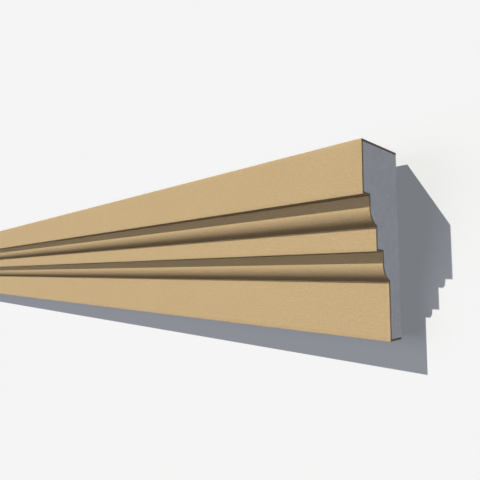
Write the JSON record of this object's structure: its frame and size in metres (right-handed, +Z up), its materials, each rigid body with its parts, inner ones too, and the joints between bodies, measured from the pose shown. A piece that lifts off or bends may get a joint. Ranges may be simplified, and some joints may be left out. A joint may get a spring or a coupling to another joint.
{
  "type": "window surround moulding",
  "caption": "Length of stepped facade moulding with flat bands, soffits and rounded ovolos, cut square, for framing a window opening.",
  "frame": {"origin": "centre of the flat back face, which goes on the wall", "axes": "+X along the length, to the right as seen from the front; +Y into the wall; +Z up, towards the deepest band"},
  "size_m": [1.3, 0.06, 0.165],
  "materials": {
    "white_foam": "expanded polystyrene, hot-wire cut, matt",
    "tan_render": "cement and acrylic render with fine sand, matt"
  },
  "bodies": {
    "root": {"foam_core": "white_foam", "render_coat": "tan_render"}
  },
  "joints": []
}
